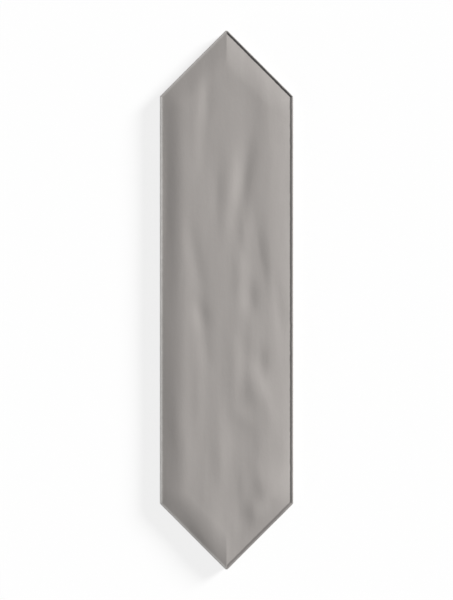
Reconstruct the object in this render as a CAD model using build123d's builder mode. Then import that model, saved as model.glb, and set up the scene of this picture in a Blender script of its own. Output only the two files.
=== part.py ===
from build123d import *
from collections import namedtuple
import math
import os

# Picket wall tile: one pressed, glazed and fired piece, a long hexagon with a point at each end.
# It lies face up. Millimetres, +X across, +Y along the tile, +Z out of the glazed face,
# origin in the middle of the back.

# Outline and thickness
width = 75.0                # between the two long edges
length = 303.0              # from point to point
point_angle = 90.0          # between the two short edges that meet at a point
thickness = 9.0             # from the back to the level middle of the face

# Edges
rim_radius = 0.9            # glazed rim between the face and the sides
face_corner = 0.4           # what is left of each corner's radius inside the rim
skirt_height = 4.0          # lower part of the sides, which leans in towards the back
skirt_draft = 6.0           # how far the skirt leans, in degrees
back_chamfer = 0.5          # broken edge round the back

# Cushioned face
cushion_band = 15.0         # how far in from the edges the face starts to fall
cushion_lean = 11.4         # how steeply it falls where it reaches the sides, in degrees
mitre_sharpness = 3.0       # how crisply the falls meet at the points

# Hand-pressed waves
wave_height = 0.47
wave_width = 4.5
wave_length = 30.0

# Keying on the back
pocket_size = 12.0          # side of one square pocket
pocket_depth = 0.8
pocket_draft = 15.0         # how far its walls lean out, in degrees
rib_width = 3.0             # between two pockets
back_land = 6.0             # plain border round the pockets
smallest_pocket = 0.2       # share of a whole pocket below which a cut one is left out

# Points of the spline face
spline_across = 1.5         # spacing of its points
spline_along = 2.8
spline_reach = 4.0          # how far it runs past the outline
spline_tolerance = 0.02

# One wave: where its crest is, as shares of the half width and the half length, how long it is
# and how wide to its left and right, how high (below nought it is a hollow), and the degrees
# that it leans from the tile's length. The sizes are multiples of the three wave sizes.
Wave = namedtuple("Wave", "across along long left right high lean")

waves = [
    # Upper point
    Wave(0.50, 0.84, long=0.9, left=1.5, right=1.5, high=0.40, lean=0),
    Wave(0.08, 0.83, long=0.5, left=0.9, right=1.0, high=0.25, lean=0),
    Wave(-0.29, 0.74, long=1.0, left=0.75, right=0.8, high=-0.50, lean=3),
    Wave(-0.45, 0.70, long=1.3, left=1.0, right=0.8, high=0.45, lean=4),
    Wave(-0.35, 0.56, long=1.0, left=0.8, right=1.0, high=-0.40, lean=4),
    Wave(0.32, 0.70, long=1.1, left=1.4, right=1.6, high=-0.45, lean=0),
    Wave(0.60, 0.64, long=1.4, left=1.1, right=1.3, high=0.15, lean=0),
    # Upper half
    Wave(0.045, 0.44, long=1.2, left=1.2, right=1.1, high=0.65, lean=0),
    Wave(0.265, 0.46, long=1.35, left=1.05, right=1.0, high=-1.75, lean=8),
    Wave(-0.15, 0.40, long=1.1, left=0.8, right=0.8, high=-0.45, lean=0),
    Wave(-0.02, 0.29, long=0.8, left=0.9, right=0.8, high=0.35, lean=0),
    Wave(0.275, 0.25, long=0.7, left=0.65, right=1.3, high=0.75, lean=0),
    Wave(0.49, 0.16, long=1.5, left=2.2, right=0.9, high=-1.20, lean=-9),
    Wave(-0.45, 0.13, long=1.5, left=0.95, right=1.0, high=-0.80, lean=-9),
    # Middle
    Wave(0.20, 0.075, long=1.2, left=0.8, right=0.9, high=0.70, lean=0),
    Wave(0.355, 0.01, long=0.6, left=1.3, right=0.85, high=-1.30, lean=0),
    Wave(0.78, -0.03, long=1.1, left=0.75, right=0.8, high=-0.65, lean=-5),
    Wave(-0.385, -0.055, long=0.6, left=0.85, right=0.95, high=-1.20, lean=-6),
    Wave(-0.33, -0.16, long=0.8, left=0.8, right=0.8, high=-0.60, lean=-5),
    Wave(0.39, -0.18, long=1.1, left=0.7, right=1.2, high=0.55, lean=0),
    # Lower half
    Wave(0.50, -0.225, long=0.55, left=1.4, right=0.95, high=-1.00, lean=0),
    Wave(0.12, -0.24, long=1.4, left=0.87, right=0.80, high=0.60, lean=0),
    Wave(0.43, -0.33, long=0.6, left=1.15, right=1.4, high=1.10, lean=0),
    Wave(0.56, -0.37, long=1.0, left=1.7, right=0.9, high=0.65, lean=-16),
    Wave(-0.42, -0.36, long=1.3, left=0.7, right=0.7, high=0.35, lean=0),
    Wave(-0.74, -0.45, long=1.0, left=0.75, right=0.75, high=0.40, lean=0),
    Wave(0.24, -0.43, long=0.4, left=1.2, right=1.4, high=0.35, lean=-20),
    Wave(0.51, -0.53, long=1.0, left=0.9, right=1.6, high=0.65, lean=-3),
    Wave(0.17, -0.50, long=0.55, left=1.2, right=1.6, high=-0.50, lean=0),
    Wave(-0.10, -0.55, long=1.4, left=0.95, right=0.85, high=0.70, lean=-2),
    Wave(-0.61, -0.55, long=1.3, left=1.1, right=1.0, high=0.55, lean=0),
    # Lower point
    Wave(0.27, -0.68, long=0.65, left=0.8, right=1.1, high=0.65, lean=0),
    Wave(0.565, -0.69, long=0.95, left=1.35, right=2.8, high=2.10, lean=-13),
    Wave(0.92, -0.60, long=1.8, left=1.6, right=0.8, high=0.95, lean=0),
    Wave(0.445, -0.785, long=0.5, left=1.1, right=1.5, high=1.60, lean=0),
    Wave(0.21, -0.80, long=0.6, left=0.9, right=1.1, high=-0.50, lean=0),
    Wave(-0.21, -0.80, long=1.3, left=1.3, right=1.2, high=0.60, lean=-9),
    Wave(-0.27, -0.91, long=0.9, left=1.4, right=1.9, high=1.70, lean=-24),
    # Hollows along the left edge
    Wave(-0.90, 0.40, long=3.4, left=0.8, right=1.1, high=-0.95, lean=0),
    Wave(-1.00, -0.42, long=2.0, left=1.0, right=1.9, high=-0.60, lean=0),
]

# Worked out from the sizes above
half_point = math.radians(point_angle / 2)
corner_radius = rim_radius + face_corner
tip_y = length / 2 + corner_radius * (1 / math.sin(half_point) - 1)
shoulder_y = tip_y - width / 2 / math.tan(half_point)
skirt_inset = skirt_height * math.tan(math.radians(skirt_draft))
outline = [
    (0, tip_y),
    (-width / 2, shoulder_y),
    (-width / 2, -shoulder_y),
    (0, -tip_y),
    (width / 2, -shoulder_y),
    (width / 2, shoulder_y),
]


def edge_distances(x, y):
    """How far a point of the face lies in from the nearest long edge and short edge."""
    from_long = width / 2 - abs(x)
    from_short = (tip_y - abs(y)) * math.sin(half_point) - abs(x) * math.cos(half_point)
    return from_long, from_short


def cushion_fall(x, y):
    """How far the cushion lies below the level middle of the face, ever steeper towards the edges."""
    total = 0.0
    for distance in edge_distances(x, y):
        share = max(0.0, 1 - distance / cushion_band)
        fall = cushion_band * math.tan(math.radians(cushion_lean)) * share ** 2 * (1 - share / 3)
        total += fall ** mitre_sharpness
    return total ** (1 / mitre_sharpness)


def wave_rise(wave, x, y):
    """What one wave adds to the height of the face."""
    along = y - wave.along * length / 2
    across = x - wave.across * width / 2 - along * math.tan(math.radians(wave.lean))
    side = wave.left if across < 0 else wave.right
    spread = (across / (side * wave_width)) ** 2 + (2 * along / (wave.long * wave_length)) ** 2
    return wave.high * wave_height * math.exp(-spread)


def face_point(x, y):
    """One point of the glazed face."""
    rise = sum(wave_rise(wave, x, y) for wave in waves)
    return Vector(x, y, thickness - cushion_fall(x, y) + rise)


def evenly(half_span, spacing):
    """Places from one side to the other, about one spacing apart."""
    steps = math.ceil(2 * half_span / spacing)
    return [half_span * (2 * step / steps - 1) for step in range(steps + 1)]


# The glazed face as one spline surface, somewhat larger than the tile
face_grid = [
    [face_point(x, y) for y in evenly(tip_y + spline_reach, spline_along)]
    for x in evenly(width / 2 + spline_reach, spline_across)
]
glazed_face = Face.make_surface_from_array_of_points(
    face_grid, tol=spline_tolerance, min_deg=3, max_deg=5
)

# The pockets of the keying, cut off where they would run into the plain border
pocket_pitch = pocket_size + rib_width
pockets_across = 2 * math.ceil(width / 2 / pocket_pitch)
pockets_along = 2 * math.ceil(tip_y / pocket_pitch)
with BuildSketch() as keying:
    with GridLocations(pocket_pitch, pocket_pitch, pockets_across, pockets_along):
        Rectangle(pocket_size, pocket_size)
    with BuildSketch(mode=Mode.INTERSECT) as inner_back:
        Polygon(*outline, align=None)
        offset(amount=-(skirt_inset + back_land), kind=Kind.INTERSECTION)
with BuildSketch() as pockets:
    add(keying.faces().filter_by(lambda face: face.area > smallest_pocket * pocket_size ** 2))

with BuildPart() as tile:
    # Sides: a skirt that leans in, and an upright land that stands past the face until it is cut
    with BuildSketch(Plane.XY.offset(skirt_height)) as plan:
        Polygon(*outline, align=None)
        fillet(plan.vertices(), corner_radius)
    extrude(plan.sketch, amount=2 * thickness - skirt_height)
    extrude(plan.sketch, amount=-skirt_height, taper=skirt_draft)
    chamfer(tile.faces().sort_by(Axis.Z)[0].edges(), back_chamfer)

    # Waved cushion face and its rim
    split(bisect_by=glazed_face, keep=Keep.BOTTOM)
    fillet(tile.faces().sort_by(Axis.Z)[-1].edges(), rim_radius)

    # Keying
    extrude(pockets.sketch, amount=pocket_depth, taper=pocket_draft, mode=Mode.SUBTRACT)

tile.part.label = "tile"

os.makedirs("parts", exist_ok=True)
export_step(tile.part, "parts/tile.step")

print("pockets", len(pockets.faces()))
print("volume", round(tile.part.volume), "mm3")
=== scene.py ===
import math
from collections import namedtuple

import bpy
import numpy as np
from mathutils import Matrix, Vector, noise
from mathutils.geometry import delaunay_2d_cdt


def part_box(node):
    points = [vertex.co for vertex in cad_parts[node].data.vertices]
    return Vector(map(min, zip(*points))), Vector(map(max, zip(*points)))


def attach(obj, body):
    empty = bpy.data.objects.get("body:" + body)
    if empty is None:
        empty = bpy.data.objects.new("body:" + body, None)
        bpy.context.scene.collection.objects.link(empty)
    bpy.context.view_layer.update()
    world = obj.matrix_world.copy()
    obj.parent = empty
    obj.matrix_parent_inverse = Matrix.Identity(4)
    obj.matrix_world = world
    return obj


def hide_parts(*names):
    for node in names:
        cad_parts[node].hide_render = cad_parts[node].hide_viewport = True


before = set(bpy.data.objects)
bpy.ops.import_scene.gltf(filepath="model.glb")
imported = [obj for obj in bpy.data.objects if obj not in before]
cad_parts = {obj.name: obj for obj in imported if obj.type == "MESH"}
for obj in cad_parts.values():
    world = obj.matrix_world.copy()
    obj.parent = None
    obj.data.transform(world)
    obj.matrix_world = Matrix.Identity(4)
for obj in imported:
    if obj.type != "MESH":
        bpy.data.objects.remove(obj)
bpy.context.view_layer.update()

# Sizes in millimetres. The outline comes from the frame, and the rest repeats the part's own sizes.
MM = 0.001
low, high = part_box("tile")
width = (high.x - low.x) / MM
length = (high.y - low.y) / MM
point_angle = 90.0
thickness = 9.0
rim_radius = 0.9
face_corner = 0.4
skirt_height = 4.0
skirt_draft = 6.0
back_chamfer = 0.5
cushion_band = 15.0
cushion_lean = 11.4
mitre_sharpness = 3.0
wave_height = 0.47
wave_width = 4.5
wave_length = 30.0

# Keying on the back
pocket_size = 12.0
pocket_depth = 0.8
pocket_draft = 15.0
rib_width = 3.0
back_land = 6.0
smallest_pocket = 0.2

# The waves of the face, as in the part: the place of the crest as shares of the half width and the
# half length, the sizes as multiples of the wave sizes, and the lean in degrees.
Wave = namedtuple("Wave", "across along long left right high lean")

waves = [
    # Upper point
    Wave(0.50, 0.84, long=0.9, left=1.5, right=1.5, high=0.40, lean=0),
    Wave(0.08, 0.83, long=0.5, left=0.9, right=1.0, high=0.25, lean=0),
    Wave(-0.29, 0.74, long=1.0, left=0.75, right=0.8, high=-0.50, lean=3),
    Wave(-0.45, 0.70, long=1.3, left=1.0, right=0.8, high=0.45, lean=4),
    Wave(-0.35, 0.56, long=1.0, left=0.8, right=1.0, high=-0.40, lean=4),
    Wave(0.32, 0.70, long=1.1, left=1.4, right=1.6, high=-0.45, lean=0),
    Wave(0.60, 0.64, long=1.4, left=1.1, right=1.3, high=0.15, lean=0),
    # Upper half
    Wave(0.045, 0.44, long=1.2, left=1.2, right=1.1, high=0.65, lean=0),
    Wave(0.265, 0.46, long=1.35, left=1.05, right=1.0, high=-1.75, lean=8),
    Wave(-0.15, 0.40, long=1.1, left=0.8, right=0.8, high=-0.45, lean=0),
    Wave(-0.02, 0.29, long=0.8, left=0.9, right=0.8, high=0.35, lean=0),
    Wave(0.275, 0.25, long=0.7, left=0.65, right=1.3, high=0.75, lean=0),
    Wave(0.49, 0.16, long=1.5, left=2.2, right=0.9, high=-1.20, lean=-9),
    Wave(-0.45, 0.13, long=1.5, left=0.95, right=1.0, high=-0.80, lean=-9),
    # Middle
    Wave(0.20, 0.075, long=1.2, left=0.8, right=0.9, high=0.70, lean=0),
    Wave(0.355, 0.01, long=0.6, left=1.3, right=0.85, high=-1.30, lean=0),
    Wave(0.78, -0.03, long=1.1, left=0.75, right=0.8, high=-0.65, lean=-5),
    Wave(-0.385, -0.055, long=0.6, left=0.85, right=0.95, high=-1.20, lean=-6),
    Wave(-0.33, -0.16, long=0.8, left=0.8, right=0.8, high=-0.60, lean=-5),
    Wave(0.39, -0.18, long=1.1, left=0.7, right=1.2, high=0.55, lean=0),
    # Lower half
    Wave(0.50, -0.225, long=0.55, left=1.4, right=0.95, high=-1.00, lean=0),
    Wave(0.12, -0.24, long=1.4, left=0.87, right=0.80, high=0.60, lean=0),
    Wave(0.43, -0.33, long=0.6, left=1.15, right=1.4, high=1.10, lean=0),
    Wave(0.56, -0.37, long=1.0, left=1.7, right=0.9, high=0.65, lean=-16),
    Wave(-0.42, -0.36, long=1.3, left=0.7, right=0.7, high=0.35, lean=0),
    Wave(-0.74, -0.45, long=1.0, left=0.75, right=0.75, high=0.40, lean=0),
    Wave(0.24, -0.43, long=0.4, left=1.2, right=1.4, high=0.35, lean=-20),
    Wave(0.51, -0.53, long=1.0, left=0.9, right=1.6, high=0.65, lean=-3),
    Wave(0.17, -0.50, long=0.55, left=1.2, right=1.6, high=-0.50, lean=0),
    Wave(-0.10, -0.55, long=1.4, left=0.95, right=0.85, high=0.70, lean=-2),
    Wave(-0.61, -0.55, long=1.3, left=1.1, right=1.0, high=0.55, lean=0),
    # Lower point
    Wave(0.27, -0.68, long=0.65, left=0.8, right=1.1, high=0.65, lean=0),
    Wave(0.565, -0.69, long=0.95, left=1.35, right=2.8, high=2.10, lean=-13),
    Wave(0.92, -0.60, long=1.8, left=1.6, right=0.8, high=0.95, lean=0),
    Wave(0.445, -0.785, long=0.5, left=1.1, right=1.5, high=1.60, lean=0),
    Wave(0.21, -0.80, long=0.6, left=0.9, right=1.1, high=-0.50, lean=0),
    Wave(-0.21, -0.80, long=1.3, left=1.3, right=1.2, high=0.60, lean=-9),
    Wave(-0.27, -0.91, long=0.9, left=1.4, right=1.9, high=1.70, lean=-24),
    # Hollows along the left edge
    Wave(-0.90, 0.40, long=3.4, left=0.8, right=1.1, high=-0.95, lean=0),
    Wave(-1.00, -0.42, long=2.0, left=1.0, right=1.9, high=-0.60, lean=0),
]

# Fine ripple of the glaze, below the height that the waves give
ripple_depth = 0.05
ripple_size = 6.0
ripple_stretch = 2.2

# Finish of the keying, rounder than in the part
pocket_corner = 1.5
pocket_lip = 0.15           # rounding of a pocket's mouth
pocket_floor = 0.25         # rounding at its floor
rounding_middle = 0.3       # how far in the middle of such a rounding lies, as a share of it

# Glaze on the sides
glaze_foot = 4.8            # height at which it ends
foot_wander = 0.35          # how much that height wanders
foot_size = 4.0             # length of one such wander
foot_layer = 0.5            # layer of the noise that it follows
glaze_thickness = 0.12      # how far the glaze stands out from the clay
foot_bead = 0.3             # rounding of its lower lip, as a share of its thickness

# Painted shade and painted highlight along the rim: a darkened line on the three edges to the right,
# and a lighter line on the others. Each edge, anticlockwise from the upper left one, has its tone
# (painted shade above nought, painted highlight below) and its reach, which is how far in the line
# goes. The spans say between which places, counted inwards from the reach, a line fades.
painted_rim_lines = ((-0.36, 1.4), (-1.0, 1.5), (-0.8, 1.3), (0.5, 2.1), (0.82, 1.9), (1.0, 1.7))
line_wander = 0.5           # how much the reach wanders
shade_inner_fade = (-0.3, 0.3)
shade_outer_fade = (-1.6, -0.8)
painted_shade_depth = 0.98           # share of the colour that the painted shade line takes away
shade_outside = 0.4          # share of the line that is left outside its outer fade
highlight_fade = (-1.4, 0.7)
side_fade = (-0.9, -0.3)    # below the rim, all lines fade out between these heights

# Colours
glaze_colour = (0.3245, 0.3033, 0.2896)
# Colour of the painted highlight along the rims on the left
highlight_colour = (0.84, 0.82, 0.795, 1.0)
clay_colour = (0.31, 0.285, 0.252)

# Mottling: size of its lumps across and along the tile, and its detail
cloud_lumps = ((14, 30), 3.0)
streak_lumps = ((2.6, 26), 3.0)
speck_lumps = ((0.5, 0.5), 1.0)
line_lumps = ((4.0, 4.0), 2.0)
satin_lumps = ((5, 9), 3.0)
peel_lumps = ((1.6, 2.4), 2.0)
clay_lumps = ((0.8, 0.8), 4.0)
grit_lumps = ((0.35, 0.35), 3.0)

# How much the colour changes
glaze_tones = ((cloud_lumps, 0.07), (streak_lumps, 0.09), (speck_lumps, 0.05))
crest_tone = 0.05           # how much paler the glaze is for each millimetre that a wave lifts it
cushion_painted_shade = 0.065        # painted shade: how much darker the glaze is where the face falls
painted_shade_band = 6.0           # how far in from the edge that painted shade is darkest
clay_tones = (0.86, 1.08)   # of the darkest and the palest grains of the clay
clay_span = (0.2, 0.8)      # values of the mottling between which they lie

# Surface
glaze_roughness = (0.36, 0.46)
satin_span = (0.25, 0.75)   # values of the mottling between which the glaze's roughness lies
clay_roughness = 0.88
line_roughness = 0.9        # on the painted shade lines
fine_relief = 0.03          # height of the glaze's peel and of the clay's grit

# Lamps: azimuth, elevation and breadth in degrees, and shares of the light on a level surface
key_light = (31.0, 22.0, 18.0)
fill_light = (205.0, 20.0, 40.0)
fill_share = 0.06
ambient = 0.18

# Floor in metres, and camera
floor_reach = 30.0
floor_white = 0.96
floor_glow = 0.82           # share of its own light in what the camera sees
lens_length = 135.0
sensor_width = 36.0
height_share = 0.9          # of the picture's height, which the tile takes up

# Mesh
facet = 0.72                # along the edges and from ring to ring
arc_steps = 8               # round each corner, an even number
rim_steps = 7
seam_half = 0.35            # half width of the strip that closes the face along its middle
corner_growth = 0.3         # how fast the rings' corners grow rounder inwards
corner_limit = 0.6          # largest radius there, as a share of the ring's half width
skirt_levels = (2.6, 1.3)   # heights of the rings between the ends of the skirt
pocket_steps = 4            # round each corner of a pocket
sharp_angle = 40.0          # from which an edge is shaded as a sharp one
join_distance = 1e-5        # points nearer to each other than this are one
inside_only = 1             # keeps the triangles inside the outline

# Worked out
half_point = math.radians(point_angle / 2)
corner_radius = rim_radius + face_corner
half_width = width / 2
tip_y = length / 2 + corner_radius * (1 / math.sin(half_point) - 1)
skirt_slope = math.tan(math.radians(skirt_draft))
skirt_inset = skirt_height * skirt_slope
lean = math.radians(cushion_lean)
cushion_slope = math.tan(lean)
rim_angles = np.linspace(lean, math.pi / 2, rim_steps + 1)[1:]
rim_insets = rim_radius * (1 - np.sin(rim_angles))


def hexagon(inset):
    """The six corners of the outline moved in by inset, anticlockwise from the upper point."""
    half = half_width - inset
    tip = tip_y - inset / math.sin(half_point)
    shoulder = tip - half / math.tan(half_point)
    return [
        (0, tip),
        (-half, shoulder),
        (-half, -shoulder),
        (0, -tip),
        (half, -shoulder),
        (half, shoulder),
    ]


def rounded(corners, radius, steps, inset=0.0):
    """For each corner of a convex outline, the points of its rounding, all moved in by inset."""
    arcs = []
    for k, corner in enumerate(corners):
        here = Vector(corner)
        to_last = (Vector(corners[k - 1]) - here).normalized()
        to_next = (Vector(corners[(k + 1) % len(corners)]) - here).normalized()
        half_angle = to_last.angle(to_next) / 2
        middle = here + (to_last + to_next).normalized() * radius / math.sin(half_angle)
        start = (here + to_last * radius / math.tan(half_angle) - middle) * (1 - inset / radius)
        turn = (math.pi - 2 * half_angle) / steps
        arcs.append([
            (
                middle.x + start.x * math.cos(turn * s) - start.y * math.sin(turn * s),
                middle.y + start.x * math.sin(turn * s) + start.y * math.cos(turn * s),
            )
            for s in range(steps + 1)
        ])
    return arcs


# How many steps a ring takes along each edge
edge_steps = [
    max(2, round(math.dist(start, end) / facet))
    for start, end in zip(hexagon(0), hexagon(0)[1:] + hexagon(0)[:1])
]


def ring(inset, radius):
    """One closed ring of points, the same number for every inset, from the upper point round."""
    arcs = rounded(hexagon(inset), radius, arc_steps)
    points = []
    for k, arc in enumerate(arcs):
        points += arc[:-1]
        start, end = np.array(arc[-1]), np.array(arcs[(k + 1) % len(arcs)][0])
        steps = edge_steps[k]
        points += [tuple(start + (end - start) * s / steps) for s in range(steps)]
    middle = arc_steps // 2
    return np.array(points[middle:] + points[:middle])


def cushion_fall(distance):
    """How far the face lies below its level middle, by the distance in from one edge."""
    share = 1 - np.minimum(distance / cushion_band, 1)
    return cushion_slope * cushion_band * share ** 2 * (1 - share / 3)


def wave_height_at(points):
    """How far the waves lift each point of the face."""
    x, y = points[:, 0], points[:, 1]
    rise = np.zeros(len(points))
    for wave in waves:
        along = y - wave.along * length / 2
        across = x - wave.across * width / 2 - along * math.tan(math.radians(wave.lean))
        side = np.where(across < 0, wave.left, wave.right) * wave_width
        spread = (across / side) ** 2 + (2 * along / (wave.long * wave_length)) ** 2
        rise += wave.high * wave_height * np.exp(-spread)
    return rise


def face_height(points):
    """Height of the face at each point: cushion, waves and ripple."""
    x, y = points[:, 0], points[:, 1]
    from_long = half_width - abs(x)
    from_short = (tip_y - abs(y)) * math.sin(half_point) - abs(x) * math.cos(half_point)
    falls = [cushion_fall(from_long), cushion_fall(from_short)]
    fall = sum(one ** mitre_sharpness for one in falls) ** (1 / mitre_sharpness)
    ripple = np.array([
        noise.noise((px / ripple_size, py / ripple_size / ripple_stretch, 0)) for px, py in points
    ])
    return thickness - fall + wave_height_at(points) - ripple_depth * (0.5 + 0.5 * ripple)


def face_rings():
    """Rings of the face from its middle strip out to the rim."""
    inset = rim_radius * (1 - math.sin(lean))
    last = half_width - seam_half
    count = round((last - inset) / facet)
    insets = [inset + (last - inset) * k / count for k in range(count, -1, -1)]
    rings = []
    for here in insets:
        radius = min(face_corner + corner_growth * (here - inset), corner_limit * (half_width - here))
        points = ring(here, max(radius, corner_radius - here))
        rings.append(np.column_stack([points, face_height(points)]))
    return insets, rings


def level_ring(inset, height):
    """A ring of the sides at one height, or at one height for each of its points."""
    points = ring(inset, corner_radius - inset)
    return np.column_stack([points, np.broadcast_to(height, len(points))])


def glazed_rings(face_edge):
    """Rings of the rim and of the glaze on the upright land, down to its thick foot."""
    rim_level = face_edge[:, 2] - rim_radius * math.cos(lean)
    rings = [
        level_ring(inset, rim_level + rim_radius * math.cos(angle))
        for inset, angle in zip(rim_insets, rim_angles)
    ]
    foot = glaze_foot + foot_wander * np.array([
        noise.noise((x / foot_size, y / foot_size, foot_layer)) for x, y in ring(0, corner_radius)
    ])
    bead = glaze_thickness * foot_bead
    rings.append(level_ring(0, foot + glaze_thickness))
    rings.append(level_ring(bead, foot + bead))
    return rings, foot


def clay_rings(foot):
    """Rings of the bare land below the glaze, the leaning skirt and the broken back edge."""
    rings = [level_ring(glaze_thickness, foot), level_ring(glaze_thickness, skirt_height)]
    for height in (*skirt_levels, back_chamfer):
        rings.append(level_ring(glaze_thickness + (skirt_height - height) * skirt_slope, height))
    rings.append(level_ring(skirt_inset + back_chamfer, 0))
    return rings


def beside(start, end, point):
    """How far a point lies left of the line from start to end, times the length of that line."""
    across, along = end[0] - start[0], end[1] - start[1]
    return across * (point[1] - start[1]) - along * (point[0] - start[0])


def clipped(polygon, corners):
    """A convex polygon cut to the inside of a convex outline that runs anticlockwise."""
    for k, start in enumerate(corners):
        end = corners[(k + 1) % len(corners)]
        kept = []
        for m, point in enumerate(polygon):
            last = polygon[m - 1]
            now, before = beside(start, end, point), beside(start, end, last)
            if (now >= 0) != (before >= 0):
                share = before / (before - now)
                x = last[0] + (point[0] - last[0]) * share
                y = last[1] + (point[1] - last[1]) * share
                kept.append((x, y))
            if now >= 0:
                kept.append(point)
        polygon = kept
    return polygon


def in_polygon(point, polygon):
    """Whether a point lies inside a convex polygon that runs anticlockwise."""
    return all(beside(polygon[k - 1], corner, point) >= 0 for k, corner in enumerate(polygon))


def area(polygon):
    """Area of a polygon that runs anticlockwise."""
    pairs = zip(polygon[-1:] + polygon[:-1], polygon)
    return sum(last_x * y - x * last_y for (last_x, last_y), (x, y) in pairs) / 2


def pocket_mouths():
    """The outlines of the keying pockets, anticlockwise."""
    pitch = pocket_size + rib_width
    columns = math.ceil(half_width / pitch)
    rows = math.ceil(tip_y / pitch)
    half = pocket_size / 2
    border = hexagon(skirt_inset + back_land)
    mouths = []
    for column in range(-columns, columns):
        for row in range(-rows, rows):
            x, y = (column + 0.5) * pitch, (row + 0.5) * pitch
            turns = ((-half, -half), (half, -half), (half, half), (-half, half))
            mouth = clipped([(x + dx, y + dy) for dx, dy in turns], border)
            if len(mouth) > 2 and area(mouth) > smallest_pocket * pocket_size ** 2:
                mouths.append(mouth)
    return mouths


def pocket_loops(mouth):
    """Loops of points from the mouth of a pocket up its leaning wall to its floor.

    Each step is how far the loop lies in from the mouth's outline, and how deep in the pocket.
    """
    slope = math.tan(math.radians(pocket_draft))
    near_floor = rounding_middle * pocket_floor
    steps = [
        (-pocket_lip, 0.0),
        (-rounding_middle * pocket_lip, rounding_middle * pocket_lip),
        (slope * pocket_lip, pocket_lip),
        (slope * (pocket_depth - pocket_floor), pocket_depth - pocket_floor),
        (slope * pocket_depth + near_floor, pocket_depth - near_floor),
        (slope * pocket_depth + pocket_floor, pocket_depth),
    ]
    return [
        [(x, y, depth) for arc in rounded(mouth, pocket_corner, pocket_steps, inset) for x, y in arc]
        for inset, depth in steps
    ]


def ring_painted_lines():
    """The painted shade and highlight line of the rim at each point of a ring, turning from one edge's
    to the next at a corner.
    """
    lines = []
    for k, line in enumerate(painted_rim_lines):
        here, before = np.array(line), np.array(painted_rim_lines[k - 1])
        lines += [before + (here - before) * s / arc_steps for s in range(arc_steps)]
        lines += [here] * edge_steps[k]
    middle = arc_steps // 2
    return np.array(lines[middle:] + lines[:middle])


def band(inner, outer, count):
    """Faces between two closed loops of points, by their first indices."""
    return [
        (inner + k, outer + k, outer + (k + 1) % count, inner + (k + 1) % count) for k in range(count)
    ]


def seam_faces(count):
    """Faces that close the innermost ring along the middle of the face."""
    half = count // 2
    first = (0, 1, count - 1)
    last = (half - 1, half, half + 1)
    return [first, *((k, k + 1, count - k - 1, count - k) for k in range(1, half - 1)), last]


def back_faces(vertices, loops, outlines):
    """Triangles of the back between its edge, which is the first loop, and the mouths of the pockets."""
    flat = [i for loop in loops for i in loop]
    edges = []
    for loop in loops:
        first = len(edges)
        edges += [(first + k, first + (k + 1) % len(loop)) for k in range(len(loop))]
    places = [Vector(vertices[i][:2]) for i in flat]
    points, _, triangles, sources, _, _ = delaunay_2d_cdt(
        places, edges, [], inside_only, join_distance
    )
    index = [flat[source[0]] for source in sources]
    centres = [np.mean(outline, axis=0) for outline in outlines]
    faces = []
    for triangle in triangles:
        middle = np.mean([points[i] for i in triangle], axis=0)
        near = min(range(len(centres)), key=lambda k: math.dist(centres[k], middle))
        if not in_polygon(middle, outlines[near]):
            faces.append(tuple(index[i] for i in reversed(triangle)))
    return faces


def tile_mesh():
    """The whole tile as one closed mesh, with what its material reads at each point."""
    vertices, faces = [], []

    def add(points):
        """Adds these points and tells where the first of them is."""
        vertices.extend(map(tuple, points))
        return len(vertices) - len(points)

    # Face, closed along its middle, then the rim and the sides
    insets, rings = face_rings()
    face_count = len(rings)
    glazed, foot = glazed_rings(rings[-1])
    rings += glazed
    glazed_count = len(rings)
    rings += clay_rings(foot)
    count = len(rings[0])
    starts = [add(points) for points in rings]
    faces += seam_faces(count)
    for inner, outer in zip(starts, starts[1:]):
        faces += band(inner, outer, count)

    # Back and pockets
    loops = [list(range(starts[-1], starts[-1] + count))]
    outlines = []
    for mouth in pocket_mouths():
        firsts = [add(points) for points in pocket_loops(mouth)]
        size = len(vertices) - firsts[-1]
        for outer, inner in zip(firsts, firsts[1:]):
            faces += band(outer, inner, size)
        faces.append(tuple(firsts[-1] + k for k in reversed(range(size))))
        loops.append([firsts[0] + k for k in range(size)])
        outlines.append([vertices[i][:2] for i in loops[-1]])
    faces += back_faces(vertices, loops, outlines)

    mesh = bpy.data.meshes.new("glazed_tile")
    mesh.from_pydata([(x * MM, y * MM, z * MM) for x, y, z in vertices], [], faces)
    mesh.validate()
    mesh.shade_smooth()
    mesh.set_sharp_from_angle(angle=math.radians(sharp_angle))

    # What the material reads at each point: whether it is glazed, how far in from the outline it
    # lies (on the sides, how far below the rim, less than nought), the painted shade and highlight
    # line of the nearest rim, and how high the waves lift it
    tones, reaches = ring_painted_lines().T
    below_rim = np.array(glazed[rim_steps:])[:, :, 2] - glazed[rim_steps - 1][:, 2]
    values = {
        "glazed": np.ones(glazed_count * count),
        "inset": np.append(np.repeat(np.append(insets, rim_insets), count), below_rim),
        "tone": np.tile(tones, len(rings)),
        "reach": np.tile(reaches, len(rings)),
        "wave": wave_height_at(np.array(vertices[:face_count * count])[:, :2]),
    }
    for name, numbers in values.items():
        filled = np.append(numbers, np.zeros(len(vertices) - len(numbers)))
        mesh.attributes.new(name, "FLOAT", "POINT").data.foreach_set("value", filled)
    return mesh


def add_node(tree, kind, inputs=None, **settings):
    """A shader node with its settings made and its inputs set or linked."""
    node = tree.nodes.new("ShaderNode" + kind)
    for name, value in settings.items():
        setattr(node, name, value)
    for name, value in (inputs or {}).items():
        if isinstance(value, bpy.types.NodeSocket):
            tree.links.new(value, node.inputs[name])
        else:
            node.inputs[name].default_value = value
    return node


def maths(tree, operation, *inputs):
    """What one sum makes of its inputs."""
    return add_node(tree, "Math", dict(enumerate(inputs)), operation=operation).outputs[0]


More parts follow.
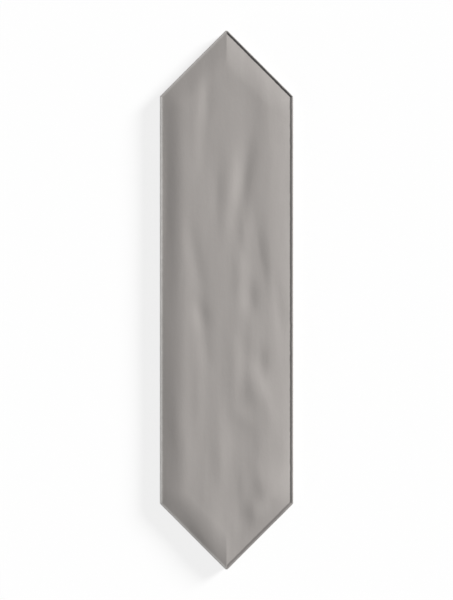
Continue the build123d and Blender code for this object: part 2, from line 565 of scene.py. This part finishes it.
def ranged(tree, value, low, high, to_low=0.0, to_high=1.0):
    """value carried smoothly from one range to another and held at its ends."""
    inputs = {"Value": value, "From Min": low, "From Max": high, "To Min": to_low, "To Max": to_high}
    return add_node(tree, "MapRange", inputs, interpolation_type="SMOOTHSTEP").outputs[0]


def between(tree, share, first, second):
    """A number between two. The node's numbers are its sockets 2 and 3."""
    return add_node(tree, "Mix", {0: share, 2: first, 3: second}, data_type="FLOAT").outputs[0]


def mixed(tree, share, first, second):
    """A colour between two. The node's colours are its sockets 6 and 7."""
    return add_node(tree, "Mix", {0: share, 6: first, 7: second}, data_type="RGBA").outputs[2]


def scaled(tree, colour, factor):
    """A colour times a factor."""
    inputs = {0: colour, "Scale": factor}
    return add_node(tree, "VectorMath", inputs, operation="SCALE").outputs[0]


def mottled(tree, place, lumps):
    """Noise from 0 to 1, by the size of its lumps in millimetres and its detail."""
    (across, along), detail = lumps
    scale = (1 / (across * MM), 1 / (along * MM), 1 / (across * MM))
    stretched = add_node(tree, "VectorMath", {0: place, 1: scale}, operation="MULTIPLY").outputs[0]
    return add_node(tree, "TexNoise", {"Vector": stretched, "Scale": 1.0, "Detail": detail}).outputs[0]


def painted_rim_shares(tree, place, inset, tone, reach):
    """Shares of the painted shade line and of the painted highlight line of the rim, both a little
    uneven along the edge.
    """
    uneven = mottled(tree, place, line_lumps)
    wander = maths(tree, "MULTIPLY_ADD", uneven, line_wander, -line_wander / 2)
    beyond = maths(tree, "SUBTRACT", maths(tree, "ADD", inset, wander), reach)
    on_rim = ranged(tree, inset, *side_fade)
    inner = ranged(tree, beyond, *shade_inner_fade, painted_shade_depth, 0.0)
    outer = ranged(tree, beyond, *shade_outer_fade, shade_outside, 1.0)
    shade_share = maths(tree, "MULTIPLY", maths(tree, "MAXIMUM", tone, 0.0), on_rim)
    shade_share = maths(tree, "MULTIPLY", shade_share, maths(tree, "MULTIPLY", inner, outer))
    highlight_strength = maths(tree, "MAXIMUM", maths(tree, "MULTIPLY", tone, -1.0), 0.0)
    highlight_share = maths(tree, "MULTIPLY", highlight_strength, on_rim)
    highlight_share = maths(tree, "MULTIPLY", highlight_share, ranged(tree, beyond, *highlight_fade, 1.0, 0.0))
    return shade_share, highlight_share


def glaze_material():
    """Satin glaze over the face and rim, with painted shade where the face falls and painted shade and
    highlight lines along the rim, and bare fired clay on the skirt and the back.
    """
    material = bpy.data.materials.new("satin_glaze")
    material.use_nodes = True
    tree = material.node_tree
    shader = tree.nodes["Principled BSDF"]
    place = add_node(tree, "TexCoord").outputs["Object"]
    glazed, inset, tone, reach, wave = [
        add_node(tree, "Attribute", attribute_name=name).outputs["Fac"]
        for name in ("glazed", "inset", "tone", "reach", "wave")
    ]

    # Glaze: clouds, streaks and specks, paler on the crests, and darker where the face falls: painted
    # shade
    level = 1 - sum(amount for _, amount in glaze_tones) / 2
    for lumps, amount in glaze_tones:
        level = maths(tree, "MULTIPLY_ADD", mottled(tree, place, lumps), amount, level)
    level = maths(tree, "MULTIPLY_ADD", wave, crest_tone, level)
    painted_edge_shade = ranged(tree, inset, painted_shade_band, cushion_band, cushion_painted_shade, 0.0)
    level = maths(tree, "SUBTRACT", level, painted_edge_shade)

    # Rim: painted shade, a darkened line on the three edges to the right, and painted highlight, a
    # lighter line on the others
    shade_share, highlight_share = painted_rim_shares(tree, place, inset, tone, reach)
    level = maths(tree, "MULTIPLY", level, maths(tree, "SUBTRACT", 1.0, shade_share))
    glaze = mixed(tree, highlight_share, scaled(tree, glaze_colour, level), highlight_colour)

    # Bare clay below the ragged foot of the glaze
    clay_level = ranged(tree, mottled(tree, place, clay_lumps), *clay_span, *clay_tones)
    clay = scaled(tree, clay_colour, clay_level)
    tree.links.new(mixed(tree, glazed, clay, glaze), shader.inputs["Base Color"])

    # Gloss, less of it on the painted shade lines, and fine relief: a soft peel on the glaze, grit on
    # the clay
    satin = ranged(tree, mottled(tree, place, satin_lumps), *satin_span, *glaze_roughness)
    rough = between(tree, glazed, clay_roughness, satin)
    tree.links.new(between(tree, shade_share, rough, line_roughness), shader.inputs["Roughness"])
    peel = mottled(tree, place, peel_lumps)
    grit = mottled(tree, place, grit_lumps)
    relief = between(tree, glazed, grit, peel)
    bump = add_node(tree, "Bump", {"Height": relief, "Strength": 1.0, "Distance": fine_relief * MM})
    tree.links.new(bump.outputs[0], shader.inputs["Normal"])
    return material


def add_object(name, data):
    """An object with this mesh, lamp or lens, linked into the scene."""
    piece = bpy.data.objects.new(name, data)
    bpy.context.scene.collection.objects.link(piece)
    return piece


def add_tile():
    """The dressed tile, which stands for the plain one of the frame."""
    tile = add_object("glazed_tile", tile_mesh())
    tile.data.materials.append(glaze_material())
    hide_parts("tile")
    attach(tile, "root")


def background_share(tree):
    """One for what the camera sees, by itself, in a reflection or through glass, and else nought."""
    path = add_node(tree, "LightPath").outputs
    seen = maths(tree, "MAXIMUM", path["Is Camera Ray"], path["Is Glossy Ray"])
    return maths(tree, "MAXIMUM", seen, path["Is Transmission Ray"])


def add_floor():
    """A pale floor, partly of its own light where it is seen, that still takes the tile's shadow."""
    corners = [(-floor_reach, -floor_reach, 0), (floor_reach, -floor_reach, 0)]
    corners += [(floor_reach, floor_reach, 0), (-floor_reach, floor_reach, 0)]
    mesh = bpy.data.meshes.new("floor")
    mesh.from_pydata(corners, [], [(0, 1, 2, 3)])
    floor = add_object("floor", mesh)
    material = bpy.data.materials.new("floor")
    material.use_nodes = True
    tree = material.node_tree
    paint = tree.nodes["Principled BSDF"]
    paint.inputs["Base Color"].default_value = (floor_white, floor_white, floor_white, 1)
    paint.inputs["Roughness"].default_value = 1.0
    paint.inputs["Specular IOR Level"].default_value = 0.0
    share = maths(tree, "MULTIPLY", background_share(tree), floor_glow)
    white = add_node(tree, "Emission").outputs[0]
    mix = add_node(tree, "MixShader", {0: share, 1: paint.outputs[0], 2: white})
    tree.links.new(mix.outputs[0], tree.nodes["Material Output"].inputs["Surface"])
    mesh.materials.append(material)


def add_world():
    """Even studio light, and plain white where the camera or a reflection meets it."""
    world = bpy.data.worlds.new("studio")
    world.use_nodes = True
    tree = world.node_tree
    strength = maths(tree, "MAXIMUM", background_share(tree), ambient)
    background = tree.nodes["Background"]
    background.inputs["Color"].default_value = (1, 1, 1, 1)
    tree.links.new(strength, background.inputs["Strength"])
    bpy.context.scene.world = world


def add_sun(name, share, azimuth, elevation, breadth):
    """A soft distant lamp that gives a level surface this share of its light."""
    turn, rise = math.radians(azimuth), math.radians(elevation)
    lamp = bpy.data.lights.new(name, "SUN")
    lamp.energy = share * math.pi / math.sin(rise)
    lamp.angle = math.radians(breadth)
    level = math.cos(rise)
    towards = Vector((math.cos(turn) * level, math.sin(turn) * level, math.sin(rise)))
    add_object(name, lamp).rotation_euler = towards.to_track_quat("Z", "Y").to_euler()


def add_camera():
    """A long lens straight above, with the tile over nine tenths of the picture's height."""
    lens = bpy.data.cameras.new("camera")
    lens.lens = lens_length
    lens.sensor_width = sensor_width
    camera = add_object("camera", lens)
    view_height = length * MM / height_share
    camera.location = (0, 0, thickness * MM + view_height * lens_length / sensor_width)
    bpy.context.scene.camera = camera


add_tile()
add_floor()
add_world()
add_sun("key", 1 - ambient - fill_share, *key_light)
add_sun("fill", fill_share, *fill_light)
add_camera()

bpy.context.scene.view_settings.view_transform = "Standard"
